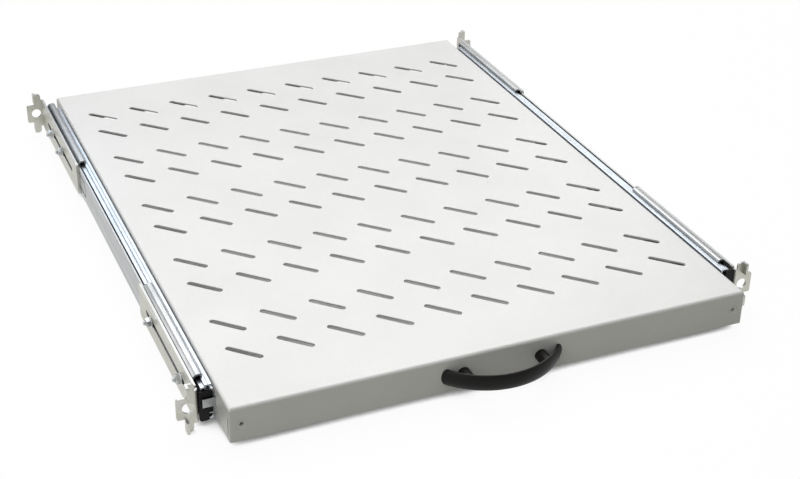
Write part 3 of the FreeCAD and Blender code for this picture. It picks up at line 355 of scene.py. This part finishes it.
FINISHES = {
    "tray_paint": powder_coat("light_grey_powder_coat", srgb(229, 229, 230), srgb(214, 214, 214)),
    "slide_zinc": zinc_plate("blue_white_zinc", srgb(168, 170, 171), srgb(154, 156, 157), 0.28),
    # Bracket zinc, with painted shade on its edges that face up and down
    "bracket_zinc": zinc_plate("yellowish_zinc", srgb(200, 200, 193), srgb(187, 186, 175), 0.4,
                               edge_radius=SHEARED_EDGE, up_down_shade=UP_DOWN_SHADE_COLOUR),
    # Hardware and cage strips get painted shade deep between neighbouring pieces
    "hardware_zinc": zinc_plate("bright_zinc_hardware", srgb(205, 207, 208), srgb(178, 181, 184), 0.22,
                                crevice_shade=CREVICE_SHADE_COLOUR),
    "cage_steel": zinc_plate("plain_cage_strip", srgb(186, 188, 190), srgb(160, 162, 165), 0.3,
                             crevice_shade=CREVICE_SHADE_COLOUR),
    "ball_steel": polished_balls("greased_ball_steel"),
    "handle_plastic": moulded_plastic("satin_black_handle", srgb(12, 11, 9), 0.42, 0.1),
    "slide_plastic": moulded_plastic("matt_black_stop", srgb(14, 14, 15), 0.45, 0.15),
}
MIDDLE_ZINC = zinc_plate("bluish_zinc", srgb(192, 198, 205), srgb(175, 182, 190), 0.28)


def dress_nodes():
    """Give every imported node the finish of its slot, and the middle rails a bluer zinc than the others."""
    for row in frame["record"]["subparts"]:
        mesh = nodes[row["node"]].data
        finish = MIDDLE_ZINC if row["node"].endswith("middle_rail") else FINISHES[row["material_slot"]]
        mesh.materials.clear()
        mesh.materials.append(finish)


# Fasteners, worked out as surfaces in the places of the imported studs, nuts, rivets and screws
STUD_PLACES = np.array((36.5, 119.0, 440.0, 481.0)) * MM
NUT_TURNS = np.radians((12.0, 41.0, 27.0, 55.0))
NUT_FLATS = 7.0 * MM
NUT_FLANGE_HEIGHT = 0.8 * MM
NUT_BORE_PLAY = 0.03 * MM
NUT_EASE = 0.12 * MM
NUT_CONE_START = 0.72
NUT_CONE_TOP = 0.94
NUT_CONE_ANGLE = math.radians(30.0)
NUT_CONE_ROWS = 8
THREAD_PITCH = 0.7 * MM
THREAD_DEPTH = 0.32 * MM
STUD_STEP = THREAD_PITCH / 7.0
STUD_TIP_CUT = 1.6
AROUND = 72
RIVETS = 3
RIVET_HEAD = 1.4 * MM
RIVET_SHANK = 2.0 * MM
RIVET_EASE = 0.25 * MM
DOME_ROWS = 9
SCREW_HEAD = 3.2 * MM
SCREW_SHANK = 2.5 * MM
SCREW_STEP = THREAD_PITCH / 5.0
SCREW_TIP = 0.6
HEAD_RIM = 0.45
HEAD_ROWS = 25
CROSS_HALF = 0.75 * MM
CROSS_FADE = 0.25 * MM
CROSS_REACH = 0.62
CROSS_RUN_OUT = 0.2
CROSS_DEPTH = 0.55
SHARP_EDGE = math.radians(32.0)


def turned_for(side, points):
    """Points of the right side as they are, or turned half a circle about Y for the left side."""
    return points if side == "right" else points * np.array((-1.0, 1.0, -1.0))


def spread_along_y(grid, places):
    """Copies of one grid of points, each moved along Y to its place."""
    return grid + np.array((0.0, 1.0, 0.0)) * np.asarray(places)[:, None, None, None]


def grid_faces(rows, columns, ring):
    """Quads between neighbouring rows of a grid whose columns close on themselves, as rows do in a ring."""
    row = np.arange(rows if ring else rows - 1)[:, None]
    column = np.arange(columns)[None, :]
    after = (row + 1) % rows
    beside = (column + 1) % columns
    corners = (row * columns + column, row * columns + beside,
               after * columns + beside, after * columns + column)
    return np.stack(np.broadcast_arrays(*corners), axis=-1).reshape(-1, 4)


def signed_volume(points, quads):
    """Volume inside a set of quads: positive where their faces point outwards."""
    a, b, c, d = (points[quads[:, i]] for i in range(4))
    halves = np.einsum("ij,ij->i", a, np.cross(b, c)) + np.einsum("ij,ij->i", a, np.cross(c, d))
    return halves.sum() / 6.0


def new_piece(name, grids, ring, body, slot, replaced):
    """One object from several grids of points, shaped (grid, row, column, xyz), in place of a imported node."""
    count, rows, columns = grids.shape[:3]
    points = grids.reshape(-1, 3)
    one = grid_faces(rows, columns, ring)
    if signed_volume(grids[0].reshape(-1, 3), one) < 0.0:
        one = one[:, ::-1]
    quads = (np.arange(count)[:, None, None] * rows * columns + one).reshape(-1, 4)
    mesh = bpy.data.meshes.new(name)
    mesh.from_pydata(points, [], quads)
    mesh.polygons.foreach_set("use_smooth", np.ones(len(quads), dtype=bool))
    mesh.set_sharp_from_angle(angle=SHARP_EDGE)
    mesh.materials.append(FINISHES[slot])
    piece = bpy.data.objects.new(name, mesh)
    bpy.context.scene.collection.objects.link(piece)
    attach(piece, body)
    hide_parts(replaced)


def round_angles(count):
    """Row of angles evenly spaced round a full turn."""
    return np.linspace(0.0, FULL_TURN, count, endpoint=False)[None, :]


def around_x(along, radius, angle):
    """Points at a distance along X, a radius from that axis and an angle round it."""
    return np.stack(np.broadcast_arrays(along, radius * np.cos(angle), radius * np.sin(angle)), axis=-1)


def thread_groove(along, angle):
    """Depth of a V thread: a triangle wave of the distance along, in pitches, less the share of a turn."""
    phase = np.mod(along / THREAD_PITCH - angle / FULL_TURN, 1.0)
    return THREAD_DEPTH * np.abs(2.0 * phase - 1.0)


def stud_surface(start, end, radius):
    """Threaded stud: radius less the thread's groove, cut off by a cone at the tip, with closed ends."""
    length = end - start
    steps = np.arange(0.0, length, STUD_STEP)
    along = np.concatenate(([0.0], steps, [length, length]))[:, None]
    angle = round_angles(AROUND)
    cone = radius - THREAD_DEPTH * STUD_TIP_CUT + (length - along)
    shape = np.minimum(radius - thread_groove(along, angle), cone)
    shape[[0, -1]] = 0.0
    return around_x(start + along, shape, angle)


def nut_surface(start, height, flange, bore, turn):
    """Flanged hexagon nut: a round flange, six flats whose corners a cone cuts off, and a plain bore."""
    angle = round_angles(AROUND)
    flat = NUT_FLATS / 2.0
    hexagon = flat / np.cos(np.mod(angle, math.pi / 3.0) - math.pi / 6.0)
    ring = np.array(((0.0, bore), (0.0, flange - NUT_EASE), (NUT_EASE, flange),
                     (NUT_FLANGE_HEIGHT - NUT_EASE, flange),
                     (NUT_FLANGE_HEIGHT, flange - 2.0 * NUT_EASE)))
    rise = np.linspace(NUT_CONE_START, 1.0, NUT_CONE_ROWS) * (height - NUT_FLANGE_HEIGHT)
    sides = NUT_FLANGE_HEIGHT + np.concatenate(([NUT_EASE], rise))
    cone = NUT_CONE_TOP * flat + (height - sides) / math.tan(NUT_CONE_ANGLE)
    mouth = np.array(((height, bore + 2.0 * NUT_EASE), (height - 2.0 * NUT_EASE, bore)))
    along = np.concatenate((ring[:, 0], sides, mouth[:, 0]))[:, None]
    round_rows = np.broadcast_to(ring[:, 1:], (len(ring), AROUND))
    hex_rows = np.minimum(hexagon, cone[:, None])
    mouth_rows = np.broadcast_to(mouth[:, 1:], (len(mouth), AROUND))
    radius = np.concatenate((round_rows, hex_rows, mouth_rows))
    return around_x(start + along, radius, angle + turn)


def rivet_surface(start, end, head):
    """Rivet: a quarter-ellipse dome inside the tray, a plain shank and a flat head with an eased rim."""
    dome = np.linspace(0.0, math.pi / 2.0, DOME_ROWS)
    arch = np.stack((start + RIVET_HEAD * (1.0 - np.cos(dome)), head * np.sin(dome)), axis=1)
    seat = end - RIVET_HEAD
    rest = np.array(((start + RIVET_HEAD, RIVET_SHANK), (seat, RIVET_SHANK), (seat, head - RIVET_EASE),
                     (seat + RIVET_EASE, head), (end - RIVET_EASE, head), (end, head - RIVET_EASE),
                     (end, 0.0)))
    profile = np.concatenate((arch, rest))
    return around_x(profile[:, :1], profile[:, 1:], round_angles(AROUND // 2))


def screw_surface(tip, seat, top, head):
    """Pan-head screw along Y: threaded shank with a cone tip, arched head with a cross sunk into it."""
    angle = round_angles(AROUND)
    along = np.concatenate(([tip], np.arange(tip, seat, SCREW_STEP), [seat]))[:, None]
    cone = SCREW_TIP * SCREW_SHANK + (along - tip)
    thread = np.minimum(SCREW_SHANK - thread_groove(along, angle), cone)
    thread[0] = 0.0
    share = np.concatenate(([1.0], np.linspace(1.0, 0.0, HEAD_ROWS)))[:, None]
    radius = head * share
    crown = HEAD_RIM + (1.0 - HEAD_RIM) * np.sqrt(1.0 - share[1:, 0] ** 2)
    arch = seat + (top - seat) * np.concatenate(([0.0], crown))[:, None]
    across = np.minimum(np.abs(radius * np.cos(angle)), np.abs(radius * np.sin(angle)))
    blade = np.clip((CROSS_HALF - across) / CROSS_FADE, 0.0, 1.0)
    reach = np.clip((CROSS_REACH * head - radius) / (CROSS_RUN_OUT * head), 0.0, 1.0)
    sunk = arch - CROSS_DEPTH * (top - seat) * blade * reach
    depth = np.concatenate((np.broadcast_to(along, thread.shape), sunk))
    wide = np.concatenate((thread, np.broadcast_to(radius, sunk.shape)))
    return np.stack((wide * np.cos(angle), depth, wide * np.sin(angle)), axis=-1)


def corners_of(node):
    """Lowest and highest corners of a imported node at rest, and half its height."""
    low, high = (np.array(corner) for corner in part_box(node))
    return low, high, (high[2] - low[2]) / 2.0


def add_studs_and_nuts(side):
    """Threaded studs of one slide and the nuts on them, each nut at its own turn."""
    low, high, radius = corners_of("right_bracket_studs")
    studs = spread_along_y(stud_surface(low[0], high[0], radius), STUD_PLACES)
    new_piece(f"{side}_threaded_studs", turned_for(side, studs), False, "rack_side", "hardware_zinc",
              f"{side}_bracket_studs")
    low, high, flange = corners_of("right_bracket_nuts")
    bore = radius + NUT_BORE_PLAY
    shapes = np.stack([nut_surface(low[0], high[0] - low[0], flange, bore, turn) for turn in NUT_TURNS])
    nuts = spread_along_y(shapes, STUD_PLACES)
    new_piece(f"{side}_flanged_nuts", turned_for(side, nuts), True, "rack_side", "hardware_zinc",
              f"{side}_bracket_nuts")


def add_rivets(side):
    """Rivets of one slide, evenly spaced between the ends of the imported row."""
    low, high, head = corners_of("right_rail_rivets")
    places = np.linspace(low[1] + head, high[1] - head, RIVETS)
    rivets = spread_along_y(rivet_surface(low[0], high[0], head), places)
    new_piece(f"{side}_domed_rivets", turned_for(side, rivets), False, "shelf", "hardware_zinc",
              f"{side}_rail_rivets")


def add_handle_screws():
    """The two screws that hold the handle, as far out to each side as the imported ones."""
    low, high, head = corners_of("handle_screws")
    screw = screw_surface(low[1], high[1] - SCREW_HEAD, high[1], head)
    reach = high[0] - head
    screws = np.stack((screw - (reach, 0.0, 0.0), screw + (reach, 0.0, 0.0)))
    new_piece("cross_head_screws", screws, False, "shelf", "hardware_zinc", "handle_screws")


# Studio
WHITE = (1.0, 1.0, 1.0, 1.0)
FLOOR_GAP = 0.0005
FLOOR_SIZE = 40.0
FLOOR_SEEN = srgb(250, 250, 250)
FLOOR_BOUNCE = srgb(150, 150, 138)
FLOOR_GLOW = 0.95
FLOOR_ROUGHNESS = 0.9
SHADE_REACH = 0.09
SHADE_FULL = 0.17
SHADE_NONE = 0.36
UNDER_TRAY_GLOW = 0.08
STUDIO_SEEN = srgb(202, 202, 202)
STUDIO_FILL = (0.246, 0.246, 0.226, 1.0)

# Cards, by their corners in X and in height above the brackets' feet
CARD_PLACE = 0.75
BLACK_CARD = ((-0.56, 0.0), (-0.25, 0.0), (-0.25, 0.2), (-0.56, 0.2))
PALE_CARD = ((-0.42, 0.2), (-0.12, 0.2), (-0.12, 0.31), (-0.42, 0.31))
WHITE_CARD = ((-1.05, 0.0), (-0.66, 0.0), (-0.47, 0.64), (-1.05, 0.64))
RIGHT_CARD = ((0.33, 0.13), (0.62, 0.13), (0.82, 0.52), (0.54, 0.52))


def seen_directly(tree):
    """1 for rays from the camera, from a mirror or through glass, 0 for light between matt surfaces."""
    path = add(tree, "ShaderNodeLightPath").outputs
    either = combine(tree, "MAXIMUM", path["Is Camera Ray"], path["Is Glossy Ray"])
    return combine(tree, "MAXIMUM", either, path["Is Transmission Ray"])


def open_floor(tree):
    """1 where the floor lies open, falling to a low value below the tray by how much is close above it, so that
    the glow fades into a painted shadow over the floor's own lit shading there.
    """
    openness = add(tree, "ShaderNodeAmbientOcclusion", {"Distance": SHADE_REACH}, samples=16)
    return rescale(tree, openness.outputs["AO"], UNDER_TRAY_GLOW, 1.0, SHADE_FULL, SHADE_NONE)


def lay_floor():
    """Plain pale floor just under the brackets' feet, white where it is seen, with the shelf's shadow."""
    level = cad_low.z - FLOOR_GAP
    half = FLOOR_SIZE / 2
    corners = [(-half, -half, level), (half, -half, level), (half, half, level), (-half, half, level)]
    mesh = bpy.data.meshes.new("floor")
    mesh.from_pydata(corners, [], [(0, 1, 2, 3)])
    floor = bpy.data.objects.new("floor", mesh)
    bpy.context.scene.collection.objects.link(floor)
    material, tree, shader = new_material("pale_floor")
    seen = seen_directly(tree)
    share = combine(tree, "MULTIPLY", combine(tree, "MULTIPLY", seen, open_floor(tree)), FLOOR_GLOW)
    white = add(tree, "ShaderNodeEmission", {"Color": WHITE, "Strength": 1.0}).outputs[0]
    mixed = add(tree, "ShaderNodeMixShader", {0: share, 1: shader.outputs["BSDF"], 2: white})
    tree.links.new(mixed.outputs[0], tree.nodes["Material Output"].inputs["Surface"])
    colour = mix_colour(tree, seen, FLOOR_BOUNCE, FLOOR_SEEN)
    feed(tree, shader, Base_Color=colour, Roughness=FLOOR_ROUGHNESS, Specular_IOR_Level=0.0)
    mesh.materials.append(material)


def stand_card(name, outline, colour, glow):
    """Flat upright card behind the shelf, met only by mirrored rays."""
    corners = [(x, CARD_PLACE, cad_low.z + height) for x, height in outline]
    mesh = bpy.data.meshes.new(name)
    mesh.from_pydata(corners, [], [(0, 1, 2, 3)])
    material, tree, shader = new_material(name)
    feed(tree, shader, Base_Color=colour, Roughness=1.0, Specular_IOR_Level=0.0, Emission_Color=colour,
         Emission_Strength=glow)
    mesh.materials.append(material)
    card = bpy.data.objects.new(name, mesh)
    card.visible_camera = False
    card.visible_diffuse = False
    card.visible_shadow = False
    card.visible_transmission = False
    bpy.context.scene.collection.objects.link(card)


def stand_cards():
    """Cards that the zinc mirrors: black and pale for the left slide's rear, two white for the rest."""
    stand_card("black_card", BLACK_CARD, srgb(40, 42, 46), glow=0.0)
    stand_card("pale_card", PALE_CARD, srgb(235, 244, 255), glow=1.9)
    stand_card("white_card", WHITE_CARD, WHITE, glow=2.0)
    stand_card("right_card", RIGHT_CARD, WHITE, glow=1.3)


def light_sky():
    """World: white behind the floor, a pale grey studio in reflections, and a soft, slightly warm fill."""
    world = bpy.data.worlds.new("studio")
    world.use_nodes = True
    tree = world.node_tree
    mirrored = mix_colour(tree, seen_directly(tree), STUDIO_FILL, STUDIO_SEEN)
    in_camera = add(tree, "ShaderNodeLightPath").outputs["Is Camera Ray"]
    colour = mix_colour(tree, in_camera, mirrored, FLOOR_SEEN)
    tree.links.new(colour, tree.nodes["Background"].inputs["Color"])
    bpy.context.scene.world = world


def hang_lamp(name, place, aim, size, power):
    """Square soft box at a place, turned to an aim point."""
    data = bpy.data.lights.new(name, "AREA")
    data.size = size
    data.energy = power
    lamp = bpy.data.objects.new(name, data)
    turn = (Vector(aim) - Vector(place)).to_track_quat("-Z", "Y").to_matrix().to_4x4()
    lamp.matrix_world = Matrix.Translation(Vector(place)) @ turn
    bpy.context.scene.collection.objects.link(lamp)


def light_studio():
    """A soft box behind and above, which the satin paint mirrors, one overhead and a weak one at the left."""
    hang_lamp("back_box", place=(0.3, 1.5, 2.0), aim=(0.0, 0.25, 0.0), size=2.2, power=45.0)
    hang_lamp("top_box", place=(-0.15, 0.0, 0.8), aim=(-0.1, 0.1, 0.0), size=0.6, power=2.1)
    hang_lamp("left_box", place=(-1.7, -0.9, 1.0), aim=(0.0, 0.2, 0.0), size=1.2, power=6.6)


place_camera()
dress_nodes()
for slide_side in SIDES:
    add_studs_and_nuts(slide_side)
    add_rivets(slide_side)
add_handle_screws()
lay_floor()
stand_cards()
light_sky()
light_studio()
bpy.context.scene.view_settings.view_transform = "Standard"
